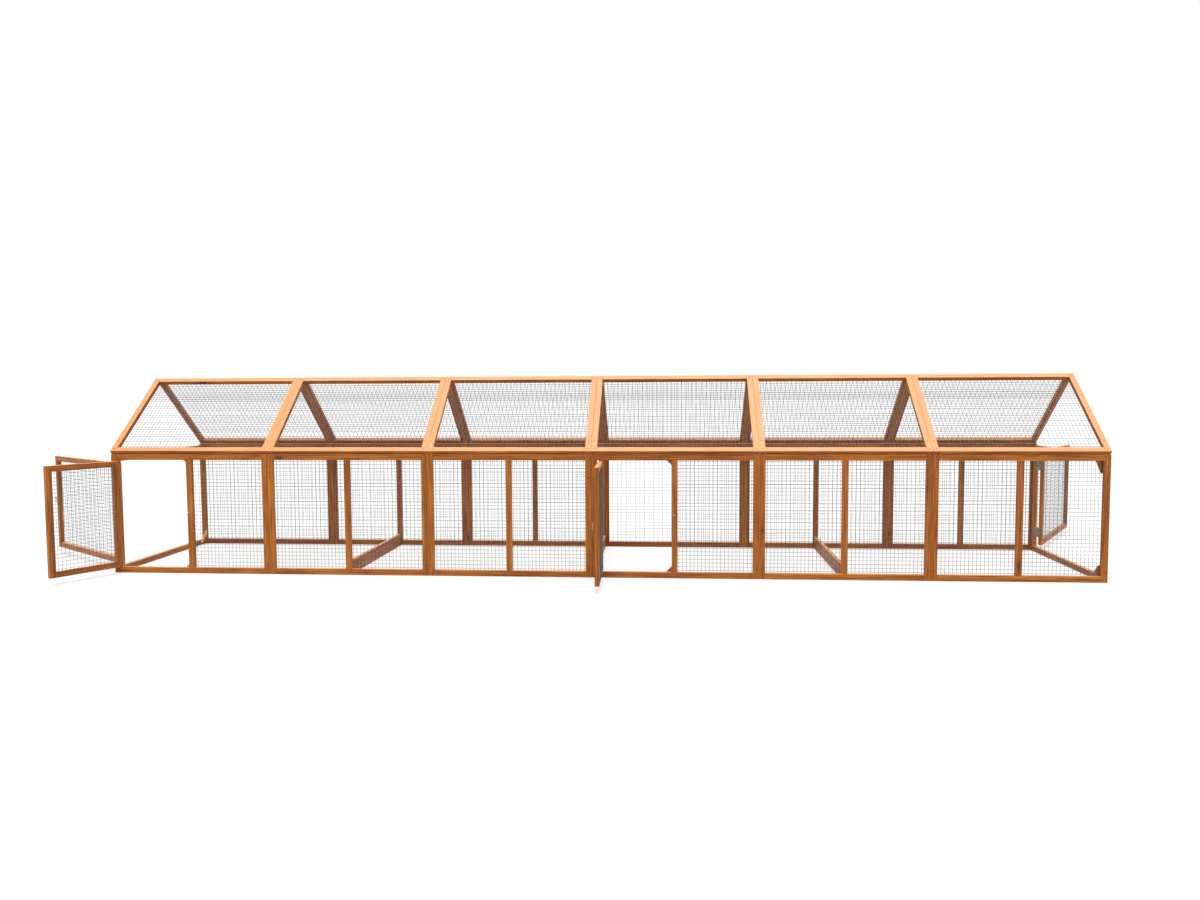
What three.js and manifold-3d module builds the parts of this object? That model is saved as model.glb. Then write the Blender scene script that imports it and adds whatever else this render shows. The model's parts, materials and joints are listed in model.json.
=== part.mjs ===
// Outdoor rabbit run: a long timber and wire-mesh tunnel with a pitched roof and four doors.
// Millimetres. +X runs along the run to the right of a viewer at the front, -Y is the front,
// +Z is up. The origin is on the ground under the middle of the centre cross board.
import * as THREE from 'three';
import { mergeVertices } from 'three/addons/utils/BufferGeometryUtils.js';
import Module from 'manifold-3d';

const manifold = await Module();
manifold.setup();

// ---------- Driving dimensions ----------
const BAY_COUNT = 6;
const BAY_LENGTH = 840;
const RUN_DEPTH = 940; // over the outer faces of the front and back walls
const WALL_HEIGHT = 625;
const STICK_WIDTH = 30; // face width of every stile, rail, rafter and mullion
const WALL_THICKNESS = 22;
const END_FRAME_DROP = 10; // top of the end frames, below the tops of the walls
const ROOF_THICKNESS = 22;
const ROOF_PITCH = THREE.MathUtils.degToRad(39.5);
const EAVE_INSET = 7; // lower roof edge, measured in from the wall's outer face
const DOOR_THICKNESS = 22;
const DOOR_HINGE_GAP = 5;
const DOOR_EDGE_GAP = 4; // at the latch side and the bottom, and at the top of a front door
const END_DOOR_TOP_GAP = 11;
const BOARD_HEIGHT = 70;
const BOARD_THICKNESS = 20;

const FIT_GAP = 0.3; // between pieces that touch on the real run
const PANEL_GAP = 0.4; // between two neighbouring panels

// ---------- Wire mesh, drawn coarser than the real pitch ----------
const NET_THICKNESS = 2;
const NET_STRAND = 3;
const NET_LAP = 14; // how far a sheet reaches over the sticks round it
const ROOF_NET_EAVE_MARGIN = 15;
const ROOF_NET_RIDGE_MARGIN = 10;
const FRONT_DOOR_NET_CELLS = [3, 4];
const END_DOOR_NET_CELLS = [5, 4];
const FRONT_NET_CELLS = [10, 4];
const LONG_NET_CELLS = [24, 4];

// ---------- Hardware ----------
const HINGE_LEAF_HEIGHT = 56;
const HINGE_LEAF_DEPTH = 17;
const HINGE_LEAF_THICKNESS = 1.5;
const HINGE_BARREL_RADIUS = 3;
const HINGE_PIN_OVERHANG = 2; // of the pin, past each end of the barrel
const HINGE_PROUD = 4; // pin axis, in front of the outer faces
const HINGE_LOWER_Z = 110;
const HINGE_UPPER_Z = WALL_HEIGHT - 125;
const LATCH_Z = WALL_HEIGHT / 2 + 14.5;
const HOOK_WIRE_RADIUS = 1.4;
const HOOK_RING_RADIUS = 4;
const HOOK_REACH = 30; // pivot to the bent tip
const HOOK_TIP_DROP = 11;
const HOOK_STAND_OFF = 9; // wire centre, in front of the door's outer face
const HOOK_EDGE_INSET = 15; // pivot, in from the door's free edge
const EYE_RING_RADIUS = 4.6;
const EYE_WIRE_RADIUS = 1.1;

// ---------- Worked out from the above ----------
const RUN_LENGTH = BAY_COUNT * BAY_LENGTH;
const HALF_LENGTH = RUN_LENGTH / 2;
const HALF_DEPTH = RUN_DEPTH / 2;
const WALL_INNER_Y = HALF_DEPTH - WALL_THICKNESS;
const END_INNER_X = HALF_LENGTH - WALL_THICKNESS;
const NET_END_X = END_INNER_X - FIT_GAP;
const END_FRAME_WIDTH = 2 * (WALL_INNER_Y - FIT_GAP);
const PANEL_LENGTH = BAY_LENGTH - PANEL_GAP;
const HALF_BAY_OPENING = (PANEL_LENGTH - 3 * STICK_WIDTH) / 2;
const END_FRAME_HEIGHT = WALL_HEIGHT - END_FRAME_DROP;
const OPENING_HEIGHT = WALL_HEIGHT - 2 * STICK_WIDTH;
const END_OPENING_HEIGHT = END_FRAME_HEIGHT - 2 * STICK_WIDTH;
const FRONT_DOOR_HEIGHT = OPENING_HEIGHT - 2 * DOOR_EDGE_GAP;
const END_DOOR_HEIGHT = END_OPENING_HEIGHT - DOOR_EDGE_GAP - END_DOOR_TOP_GAP;
const DOOR_BOTTOM_Z = STICK_WIDTH + DOOR_EDGE_GAP;
const FRONT_DOOR_WIDTH = HALF_BAY_OPENING - DOOR_HINGE_GAP - DOOR_EDGE_GAP;
const END_DOOR_WIDTH = END_FRAME_WIDTH - STICK_WIDTH - DOOR_HINGE_GAP - DOOR_EDGE_GAP;
const ROOF_EAVE_Y = HALF_DEPTH - EAVE_INSET;
const ROOF_SLOPE_LENGTH = (ROOF_EAVE_Y - PANEL_GAP / 2) / Math.cos(ROOF_PITCH);

// ---------- Materials ----------
function material(name, color, roughness, metalness) {
  const made = new THREE.MeshStandardMaterial({ color, roughness, metalness });
  made.name = name;
  return made;
}

const timber = () => material('timber', 0xc9803f, 0.65, 0);
const wireMesh = () => material('wire_mesh', 0x9a9c9a, 0.5, 0.6);
const zinc = () => material('zinc', 0xb4b5a8, 0.4, 0.8);
const brass = () => material('brass', 0xc9a55a, 0.35, 0.9);

// ---------- Shapes ----------
function toGeometry(solid) {
  const mesh = solid.getMesh();
  const geometry = new THREE.BufferGeometry();
  geometry.setAttribute('position', new THREE.BufferAttribute(new Float32Array(mesh.vertProperties), 3));
  geometry.setIndex(new THREE.BufferAttribute(new Uint32Array(mesh.triVerts), 1));
  geometry.computeVertexNormals();
  return geometry;
}

const rectangle = (x, y, width, height) => [
  [x, y],
  [x + width, y],
  [x + width, y + height],
  [x, y + height],
];

// A flat plate in X and Y from (0, 0), thick along +Z, with rectangular holes [x, y, width, height].
function plateWithHoles(width, height, thickness, holes) {
  const outlines = [rectangle(0, 0, width, height), ...holes.map((hole) => rectangle(...hole))];
  return toGeometry(new manifold.CrossSection(outlines, 'EvenOdd').extrude(thickness));
}

// A rectangular timber frame, divided into equal openings by full-height mullions.
function timberFrame(width, height, thickness, openings = 1) {
  const openingWidth = (width - (openings + 1) * STICK_WIDTH) / openings;
  const holes = [];
  for (let i = 0; i < openings; i += 1) {
    const x = STICK_WIDTH + i * (openingWidth + STICK_WIDTH);
    holes.push([x, STICK_WIDTH, openingWidth, height - 2 * STICK_WIDTH]);
  }
  return plateWithHoles(width, height, thickness, holes);
}

// A frame with one post, at its far end. A neighbouring stile closes its near end.
function onePostFrame(width, height, thickness) {
  const postX = width - STICK_WIDTH;
  const railZ = height - STICK_WIDTH;
  const outline = [
    [0, 0],
    [width, 0],
    [width, height],
    [0, height],
    [0, railZ],
    [postX, railZ],
    [postX, STICK_WIDTH],
    [0, STICK_WIDTH],
  ];
  return toGeometry(new manifold.CrossSection([outline], 'EvenOdd').extrude(thickness));
}

// A sheet of welded mesh with the given count of openings across and up.
function netSheet(width, height, [across, up]) {
  const openingWidth = (width - (across + 1) * NET_STRAND) / across;
  const openingHeight = (height - (up + 1) * NET_STRAND) / up;
  const holes = [];
  for (let row = 0; row < up; row += 1) {
    for (let column = 0; column < across; column += 1) {
      const x = NET_STRAND + column * (openingWidth + NET_STRAND);
      const y = NET_STRAND + row * (openingHeight + NET_STRAND);
      holes.push([x, y, openingWidth, openingHeight]);
    }
  }
  return plateWithHoles(width, height, NET_THICKNESS, holes);
}

function toSolid(geometry) {
  const bare = geometry.clone();
  bare.deleteAttribute('normal');
  bare.deleteAttribute('uv');
  const merged = mergeVertices(bare, 1e-4);
  const mesh = new manifold.Mesh({
    numProp: 3,
    vertProperties: new Float32Array(merged.attributes.position.array),
    triVerts: new Uint32Array(merged.index.array),
  });
  return new manifold.Manifold(mesh);
}

function join(geometries) {
  const [first, ...others] = geometries.map(toSolid);
  return toGeometry(others.reduce((sum, solid) => sum.add(solid), first));
}

function box(x0, x1, y0, y1, z0, z1) {
  const geometry = new THREE.BoxGeometry(x1 - x0, y1 - y0, z1 - z0);
  return geometry.translate((x0 + x1) / 2, (y0 + y1) / 2, (z0 + z1) / 2);
}

function uprightCylinder(radius, height) {
  return new THREE.CylinderGeometry(radius, radius, height, 16).rotateX(Math.PI / 2);
}

// A round rod between two points.
function rod(start, end, radius) {
  const along = end.clone().sub(start);
  const geometry = new THREE.CylinderGeometry(radius, radius, along.length(), 10);
  const turn = new THREE.Quaternion().setFromUnitVectors(
    new THREE.Vector3(0, 1, 0),
    along.clone().normalize(),
  );
  const middle = start.clone().add(end).divideScalar(2);
  return geometry.applyQuaternion(turn).translate(middle.x, middle.y, middle.z);
}

// The frame-side hinge leaf with its barrel and pin, upright about the pin axis at the origin.
// The post's edge face is half the hinge gap away along -x; side is +1 or -1, the sign of inward y.
function hinge(side) {
  const leafOuterX = -DOOR_HINGE_GAP / 2 + FIT_GAP;
  const leafInnerY = side * (HINGE_PROUD + HINGE_LEAF_DEPTH);
  const halfHeight = HINGE_LEAF_HEIGHT / 2;
  return join([
    box(
      leafOuterX,
      leafOuterX + HINGE_LEAF_THICKNESS,
      Math.min(0, leafInnerY),
      Math.max(0, leafInnerY),
      -halfHeight,
      halfHeight,
    ),
    uprightCylinder(HINGE_BARREL_RADIUS, HINGE_LEAF_HEIGHT),
    uprightCylinder(HINGE_BARREL_RADIUS * 0.65, HINGE_LEAF_HEIGHT + 2 * HINGE_PIN_OVERHANG),
  ]);
}

// The latch hook as it hangs: ring round the pivot at the origin, arm down, bent tip along -x.
function hook() {
  const ring = new THREE.TorusGeometry(HOOK_RING_RADIUS, HOOK_WIRE_RADIUS, 8, 16).rotateX(Math.PI / 2);
  const shoulder = new THREE.Vector3(0, 0, -HOOK_RING_RADIUS);
  const corner = new THREE.Vector3(0, 0, -HOOK_REACH);
  const tip = new THREE.Vector3(-HOOK_TIP_DROP, 0, -HOOK_REACH);
  const elbow = new THREE.SphereGeometry(HOOK_WIRE_RADIUS, 10, 8).translate(corner.x, corner.y, corner.z);
  return join([ring, rod(shoulder, corner, HOOK_WIRE_RADIUS), elbow, rod(corner, tip, HOOK_WIRE_RADIUS)]);
}

// The screw eye that the hook's tip drops into: a level ring on a shank that runs to the face,
// which stands faceSetback behind the door's outer face.
function eye(side, faceSetback) {
  const ring = new THREE.TorusGeometry(EYE_RING_RADIUS, EYE_WIRE_RADIUS, 8, 16);
  const shank = rod(
    new THREE.Vector3(0, side * EYE_RING_RADIUS, 0),
    new THREE.Vector3(0, side * (HOOK_STAND_OFF + faceSetback - FIT_GAP), 0),
    EYE_WIRE_RADIUS,
  );
  return join([ring, shank]);
}

// ---------- Assembly ----------
const run = new THREE.Group();
run.name = 'rabbit_run';

function add(parent, name, geometry, surface, position = [0, 0, 0], rotation = [0, 0, 0]) {
  const mesh = new THREE.Mesh(geometry, surface);
  mesh.name = name;
  mesh.position.set(...position);
  mesh.rotation.set(...rotation);
  parent.add(mesh);
  return mesh;
}

// Turns a plate drawn flat so that it stands along X with its thickness along +Y.
function standUp(geometry) {
  geometry.computeBoundingBox();
  const thickness = geometry.boundingBox.max.z;
  return geometry.rotateX(Math.PI / 2).translate(0, thickness, 0);
}

// One long side: wall frames, roof frames and their nets. It is drawn as the front side, and the
// back side is the same turned half a turn, so its bays are numbered the other way.
function longSide(name, turned) {
  const side = new THREE.Group();
  side.rotation.z = turned ? Math.PI : 0;
  run.add(side);
  for (let i = 0; i < BAY_COUNT; i += 1) {
    const bay = turned ? BAY_COUNT - i : i + 1;
    const x = -HALF_LENGTH + i * BAY_LENGTH + PANEL_GAP / 2;
    const wall = standUp(timberFrame(PANEL_LENGTH, WALL_HEIGHT, WALL_THICKNESS, 2));
    add(side, `${name}_wall_frame_${bay}`, wall, timber(), [x, -HALF_DEPTH, 0]);
    const roof = timberFrame(PANEL_LENGTH, ROOF_SLOPE_LENGTH, ROOF_THICKNESS);
    const eave = [x, -ROOF_EAVE_Y, WALL_HEIGHT + FIT_GAP];
    add(side, `${name}_roof_frame_${bay}`, roof, timber(), eave, [ROOF_PITCH, 0, 0]);
  }
  const netLength = 2 * NET_END_X;
  const netHeight = ROOF_SLOPE_LENGTH - ROOF_NET_EAVE_MARGIN - ROOF_NET_RIDGE_MARGIN;
  const roofNet = netSheet(netLength, netHeight, LONG_NET_CELLS);
  roofNet.translate(-netLength / 2, ROOF_NET_EAVE_MARGIN, -FIT_GAP - NET_THICKNESS);
  const eave = [0, -ROOF_EAVE_Y, WALL_HEIGHT + FIT_GAP];
  add(side, `${name}_roof_net`, roofNet, wireMesh(), eave, [ROOF_PITCH, 0, 0]);
  return side;
}

// A wall net behind the front or back frames, from one x to another.
function wallNet(side, name, fromX, toX, cells) {
  const height = OPENING_HEIGHT + 2 * NET_LAP;
  const net = standUp(netSheet(toX - fromX, height, cells));
  const position = [fromX, -WALL_INNER_Y + FIT_GAP, STICK_WIDTH - NET_LAP];
  add(side, name, net, wireMesh(), position);
}

const front = longSide('front', false);
const back = longSide('back', true);
const bayMullionX = (PANEL_LENGTH - STICK_WIDTH) / 2 + PANEL_GAP / 2 + STICK_WIDTH - NET_LAP;
wallNet(front, 'front_wall_net_left', -HALF_LENGTH + bayMullionX, -PANEL_GAP, FRONT_NET_CELLS);
wallNet(front, 'front_wall_net_right', bayMullionX, NET_END_X, FRONT_NET_CELLS);
wallNet(back, 'back_wall_net', -NET_END_X, NET_END_X, LONG_NET_CELLS);

// End frames, between the front and the back walls: a hinge post, a top rail and a bottom rail.
for (const [name, direction] of [['left', -1], ['right', 1]]) {
  const frame = standUp(onePostFrame(END_FRAME_WIDTH, END_FRAME_HEIGHT, WALL_THICKNESS));
  const corner = [direction * HALF_LENGTH, direction * (-END_FRAME_WIDTH / 2), 0];
  add(run, `${name}_end_frame`, frame, timber(), corner, [0, 0, (direction * Math.PI) / 2]);
}

// Cross boards on edge between the wall nets, which tie the two long walls together.
const boardHalfSpan = WALL_INNER_Y - 2 * FIT_GAP - NET_THICKNESS;
const boardPlaces = { left: -1.5 * BAY_LENGTH, centre: 0, right: 1.5 * BAY_LENGTH };
for (const [name, x] of Object.entries(boardPlaces)) {
  const halfThickness = BOARD_THICKNESS / 2;
  const board = box(-halfThickness, halfThickness, -boardHalfSpan, boardHalfSpan, 0, BOARD_HEIGHT);
  add(run, `${name}_cross_board`, board, timber(), [x, 0, 0]);
}

// Doors. Each is drawn closed along +x from its hinge pins at the origin; inward is +y for
// side +1 and -y for side -1. closed is the heading of +x when shut, open how far it stands ajar.
function door({ name, pins, closed, open, side, width, height, faceSetback, cells }) {
  const shut = new THREE.Group();
  shut.position.set(pins[0], pins[1], 0);
  shut.rotation.z = THREE.MathUtils.degToRad(closed);
  run.add(shut);
  const leaf = new THREE.Group();
  leaf.rotation.z = THREE.MathUtils.degToRad(-side * open);
  shut.add(leaf);

  const edgeX = DOOR_HINGE_GAP / 2;
  const lowY = side > 0 ? HINGE_PROUD : -HINGE_PROUD - DOOR_THICKNESS;
  const frame = standUp(timberFrame(width, height, DOOR_THICKNESS));
  add(leaf, `${name}_frame`, frame, timber(), [edgeX, lowY, DOOR_BOTTOM_Z]);

  const netInset = STICK_WIDTH - NET_LAP;
  const net = standUp(netSheet(width - 2 * netInset, height - 2 * netInset, cells));
  const netOffset = HINGE_PROUD + DOOR_THICKNESS + FIT_GAP;
  const netY = side > 0 ? netOffset : -netOffset - NET_THICKNESS;
  add(leaf, `${name}_net`, net, wireMesh(), [edgeX + netInset, netY, DOOR_BOTTOM_Z + netInset]);

  const hookX = edgeX + width - HOOK_EDGE_INSET;
  const wireY = side * (HINGE_PROUD - HOOK_STAND_OFF);
  add(leaf, `${name}_hook`, hook(), brass(), [hookX, wireY, LATCH_Z]);
  const eyeZ = LATCH_Z - HOOK_TIP_DROP / 2;
  add(shut, `${name}_eye`, eye(side, faceSetback), zinc(), [hookX + HOOK_REACH, wireY, eyeZ]);
  add(shut, `${name}_hinge_lower`, hinge(side), zinc(), [0, 0, HINGE_LOWER_Z]);
  add(shut, `${name}_hinge_upper`, hinge(side), zinc(), [0, 0, HINGE_UPPER_Z]);
}

const frontPinY = -HALF_DEPTH - HINGE_PROUD;
const frontPinInset = PANEL_GAP / 2 + STICK_WIDTH + DOOR_HINGE_GAP / 2;
const endPinX = HALF_LENGTH + HINGE_PROUD;
const endPinY = END_FRAME_WIDTH / 2 - STICK_WIDTH - DOOR_HINGE_GAP / 2;
const frontDoor = {
  closed: 0,
  side: 1,
  width: FRONT_DOOR_WIDTH,
  height: FRONT_DOOR_HEIGHT,
  faceSetback: 0,
  cells: FRONT_DOOR_NET_CELLS,
};
const endDoor = {
  side: -1,
  width: END_DOOR_WIDTH,
  height: END_DOOR_HEIGHT,
  faceSetback: PANEL_GAP / 2,
  cells: END_DOOR_NET_CELLS,
};
door({ ...frontDoor, name: 'front_left_door', pins: [-HALF_LENGTH + frontPinInset, frontPinY], open: 119 });
door({ ...frontDoor, name: 'front_centre_door', pins: [frontPinInset, frontPinY], open: 88.5 });
door({ ...endDoor, name: 'left_end_door', pins: [-endPinX, -endPinY], closed: 90, open: 54 });
door({ ...endDoor, name: 'right_end_door', pins: [endPinX, endPinY], closed: -90, open: 149 });

export default run;
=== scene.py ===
"""Dresses the outdoor rabbit run: stained timber frames, welded wire sheets, doors and hardware."""

import json
import math
import random

import bmesh
import bpy
from mathutils import Matrix, Vector


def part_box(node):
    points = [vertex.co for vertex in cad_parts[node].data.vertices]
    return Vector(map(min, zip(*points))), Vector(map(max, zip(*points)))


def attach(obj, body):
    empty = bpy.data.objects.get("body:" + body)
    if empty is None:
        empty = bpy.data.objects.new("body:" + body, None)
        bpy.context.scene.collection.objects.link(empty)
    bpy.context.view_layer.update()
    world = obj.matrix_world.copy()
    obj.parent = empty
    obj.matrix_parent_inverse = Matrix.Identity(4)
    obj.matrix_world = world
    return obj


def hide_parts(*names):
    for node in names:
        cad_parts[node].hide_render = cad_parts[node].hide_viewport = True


bl_info = {
    "name": "Outdoor rabbit run",
    "version": (1, 0, 0),
    "blender": (4, 5, 0),
    "location": "View3D > Sidebar > Rabbit run",
    "description": "Builds the timber, wire mesh, doors and hardware of an outdoor rabbit run",
    "category": "Add Mesh",
}

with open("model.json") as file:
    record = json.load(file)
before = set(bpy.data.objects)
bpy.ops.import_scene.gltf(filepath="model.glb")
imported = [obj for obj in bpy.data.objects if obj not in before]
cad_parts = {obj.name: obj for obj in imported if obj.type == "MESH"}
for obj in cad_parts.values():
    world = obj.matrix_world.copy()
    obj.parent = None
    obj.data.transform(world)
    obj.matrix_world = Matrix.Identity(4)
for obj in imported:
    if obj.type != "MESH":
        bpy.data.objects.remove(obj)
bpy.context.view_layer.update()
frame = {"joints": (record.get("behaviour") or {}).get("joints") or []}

# ---------- Sizes taken from the frame, in metres ----------
BAY_COUNT = 6
FRONT_LOW, FRONT_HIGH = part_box("front_wall_frame_1")
WALL_THICKNESS = FRONT_HIGH.y - FRONT_LOW.y
WALL_HEIGHT = FRONT_HIGH.z - FRONT_LOW.z
END_FRAME_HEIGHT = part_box("left_end_frame")[1].z
WALL_OUTER_Y = -FRONT_LOW.y
BAY_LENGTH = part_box("front_wall_frame_2")[0].x - FRONT_LOW.x
RUN_HALF_LENGTH = BAY_COUNT * BAY_LENGTH / 2

# ---------- Sizes of the sticks and the hardware, in metres ----------
STICK_WIDTH = 0.030
ROOF_THICKNESS = 0.022
ROOF_PITCH = math.radians(39.5)
DOOR_THICKNESS = 0.022
HINGE_GAP = 0.005
HINGE_PROUD = 0.004
LATCH_GAP = 0.004
NET_GAP = 0.0003
NET_DEPTH = 0.004
HALF_TURN = math.pi
QUARTER_TURN = math.pi / 2

DOOR_NAMES = ("front_left_door", "front_centre_door", "left_end_door", "right_end_door")
JOINTS = {joint["name"]: joint for joint in frame["joints"]}

# ---------- Seeds, so that no two pieces share their grain or their waves ----------
TIMBER_SEED = 12
DOOR_SEED = 61
BLOCK_SEED = 90
BACK_SHEET_SEED = 20
ROOF_SHEET_SEED = 40
DOOR_SHEET_SEED = 70


# ---------- Settings ----------
class RunTimberSettings(bpy.types.PropertyGroup):
    """Sizes and colours of the stained softwood sticks."""

    chamfer: bpy.props.FloatProperty(
        name="Edge rounding",
        description="Radius taken off each long edge of a stick",
        default=0.0014,
        min=0.0,
        unit="LENGTH",
    )
    joint_gap: bpy.props.FloatProperty(
        name="Joint gap",
        description="Gap at each butt joint between two sticks",
        default=0.0004,
        min=0.0,
        unit="LENGTH",
    )
    light_stain: bpy.props.FloatVectorProperty(
        name="Light stain",
        description="Stain over the pale early wood",
        default=(0.88, 0.30, 0.036),
        subtype="COLOR",
    )
    deep_stain: bpy.props.FloatVectorProperty(
        name="Deep stain",
        description="Stain over the dense late wood",
        default=(0.34, 0.087, 0.005),
        subtype="COLOR",
    )
    # Painted highlight: a paler colour for the faces that look up, standing in for the sheen of the
    # light from above.
    painted_top_highlight: bpy.props.FloatVectorProperty(
        name="Bleached stain",
        description="Stain on the faces that look up at the sky",
        default=(0.80, 0.41, 0.17),
        subtype="COLOR",
    )
    knot: bpy.props.FloatVectorProperty(
        name="Knot",
        description="Colour at the heart of a knot",
        default=(0.13, 0.045, 0.015),
        subtype="COLOR",
    )


class RunMeshSettings(bpy.types.PropertyGroup):
    """Sizes and colour of the welded wire sheets."""

    pitch: bpy.props.FloatProperty(
        name="Mesh pitch",
        description="Distance from wire to wire",
        default=0.01905,
        min=0.005,
        unit="LENGTH",
    )
    wide_pitch: bpy.props.FloatProperty(
        name="Wide upright pitch",
        description="Distance between the upright wires of the rear sheets and the end doors",
        default=0.0272,
        min=0.005,
        unit="LENGTH",
    )
    wire_radius: bpy.props.FloatProperty(
        name="Wire radius",
        description="Half the thickness of one wire",
        default=0.0008,
        min=0.0002,
        unit="LENGTH",
    )
    waviness: bpy.props.FloatProperty(
        name="Waviness",
        description="How far a sheet stands off the flat between its staples",
        default=0.0016,
        min=0.0,
        unit="LENGTH",
    )
    lap: bpy.props.FloatProperty(
        name="Lap",
        description="How far a sheet reaches over the sticks round it",
        default=0.016,
        min=0.0,
        unit="LENGTH",
    )
    door_lap: bpy.props.FloatProperty(
        name="Lap on the front doors",
        description="The same on the front doors, clear of the corner blocks",
        default=0.012,
        min=0.0,
        unit="LENGTH",
    )
    end_door_lap: bpy.props.FloatProperty(
        name="Lap on the end doors",
        description="The same on the two end doors, whose corner blocks reach further in",
        default=0.006,
        min=0.0,
        unit="LENGTH",
    )
    staple_spacing: bpy.props.FloatProperty(
        name="Staple spacing",
        description="Distance between staples along a stick",
        default=0.095,
        min=0.02,
        unit="LENGTH",
    )
    wire_colour: bpy.props.FloatVectorProperty(
        name="Wire colour",
        description="Galvanised coat of the wire",
        default=(0.12, 0.122, 0.12),
        subtype="COLOR",
    )


class RunHardwareSettings(bpy.types.PropertyGroup):
    """Sizes and colours of the hinges, latches and screws."""

    screw_radius: bpy.props.FloatProperty(
        name="Screw head radius",
        description="Radius of a frame screw's countersunk head",
        default=0.0031,
        min=0.001,
        unit="LENGTH",
    )
    block_leg: bpy.props.FloatProperty(
        name="Corner block leg",
        description="Length of the two square sides of a door's corner block",
        default=0.040,
        min=0.01,
        unit="LENGTH",
    )
    end_block_leg: bpy.props.FloatProperty(
        name="End corner block leg",
        description="The same for the corner blocks of the end frames",
        default=0.052,
        min=0.01,
        unit="LENGTH",
    )
    zinc_colour: bpy.props.FloatVectorProperty(
        name="Zinc colour",
        description="Zinc plate of the hinges, hook screws and staples",
        default=(0.29, 0.265, 0.185),
        subtype="COLOR",
    )
    bright_zinc_colour: bpy.props.FloatVectorProperty(
        name="Bright zinc colour",
        description="Brighter zinc of the screw eyes",
        default=(0.72, 0.73, 0.72),
        subtype="COLOR",
    )
    dark_screw_colour: bpy.props.FloatVectorProperty(
        name="Dark screw colour",
        description="Coat of the screws through the frames",
        default=(0.055, 0.045, 0.035),
        subtype="COLOR",
    )
    brass_colour: bpy.props.FloatVectorProperty(
        name="Brass colour",
        description="Colour of the latch hooks",
        default=(0.85, 0.60, 0.24),
        subtype="COLOR",
    )


class RunStageSettings(bpy.types.PropertyGroup):
    """Floor, light and camera."""

    floor_colour: bpy.props.FloatVectorProperty(
        name="Floor colour",
        description="Colour of the pale floor",
        default=(0.38, 0.38, 0.38),
        subtype="COLOR",
    )
    floor_glow: bpy.props.FloatProperty(
        name="Floor glow",
        description="How brightly the floor shows to the camera besides the light on it",
        default=0.6,
        min=0.0,
    )
    sky_strength: bpy.props.FloatProperty(
        name="Room light",
        description="Strength of the even light from all round",
        default=0.35,
        min=0.0,
    )
    overhead_power: bpy.props.FloatProperty(
        name="Overhead light",
        description="Strength of the broad light overhead",
        default=3.3,
        min=0.0,
    )
    front_power: bpy.props.FloatProperty(
        name="Front light",
        description="Strength of the light from above the viewer",
        default=0.45,
        min=0.0,
    )


# ---------- Materials ----------
# Scales of the patterns in the timber, along a stick and across it both ways.
STREAK_SCALE = (5.0, 190.0, 190.0)
BAND_SCALE = (1.6, 38.0, 38.0)
BLOTCH_SCALE = (4.0, 14.0, 14.0)
KNOT_SCALE = (3.1, 9.0, 9.0)
DARKEST_TONE = (0.80, 0.73, 0.66)
FULL_TONE = (1.0, 1.0, 1.0)


def new_material(name):
    """A material and its node tree, or no tree where the material is there already."""
    material = bpy.data.materials.get(name)
    if material:
        return material, None
    material = bpy.data.materials.new(name)
    material.use_nodes = True
    return material, material.node_tree


def connect(tree, source, target):
    tree.links.new(source, target)


def add_node(tree, kind, **values):
    node = tree.nodes.new(kind)
    for key, value in values.items():
        setattr(node, key, value)
    return node


def set_input(tree, socket, value):
    """Feeds a socket from another node's output, or gives it a plain value."""
    if isinstance(value, bpy.types.NodeSocket):
        connect(tree, value, socket)
    else:
        socket.default_value = value


def scaled_vector(tree, vector, scale):
    """The vector with each of its parts scaled."""
    node = add_node(tree, "ShaderNodeVectorMath", operation="MULTIPLY")
    connect(tree, vector, node.inputs[0])
    node.inputs[1].default_value = scale
    return node.outputs[0]


def value_map(tree, value, low, high, to_low=0.0, to_high=1.0):
    """A smooth change from one value to another while the given value goes from low to high."""
    node = add_node(tree, "ShaderNodeMapRange", interpolation_type="SMOOTHSTEP")
    connect(tree, value, node.inputs["Value"])
    node.inputs["From Min"].default_value = low
    node.inputs["From Max"].default_value = high
    node.inputs["To Min"].default_value = to_low
    node.inputs["To Max"].default_value = to_high
    return node.outputs["Result"]


def mixed_colour(tree, factor, first, second, blend="MIX"):
    """Two colours, each a node's output or plain red, green and blue, mixed by a factor."""
    node = add_node(tree, "ShaderNodeMix", data_type="RGBA", blend_type=blend)
    set_input(tree, node.inputs["Factor"], factor)
    for value, socket in ((first, node.inputs["A"]), (second, node.inputs["B"])):
        plain = not isinstance(value, bpy.types.NodeSocket)
        set_input(tree, socket, (*value, 1.0) if plain else value)
    return node.outputs["Result"]


def noise_texture(tree, vector, scale, detail):
    node = add_node(tree, "ShaderNodeTexNoise")
    node.inputs["Scale"].default_value = scale
    node.inputs["Detail"].default_value = detail
    connect(tree, vector, node.inputs["Vector"])
    return node


def own_attribute(tree, name, output="Fac"):
    """An attribute that the mesh itself carries."""
    return add_node(tree, "ShaderNodeAttribute", attribute_name=name).outputs[output]


def add_bump(tree, shader, height, strength, distance):
    """Fine relief on a shader, from a height and a depth in metres."""
    bump = add_node(tree, "ShaderNodeBump")
    bump.inputs["Strength"].default_value = strength
    bump.inputs["Distance"].default_value = distance
    connect(tree, height, bump.inputs["Height"])
    connect(tree, bump.outputs["Normal"], shader.inputs["Normal"])


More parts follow.
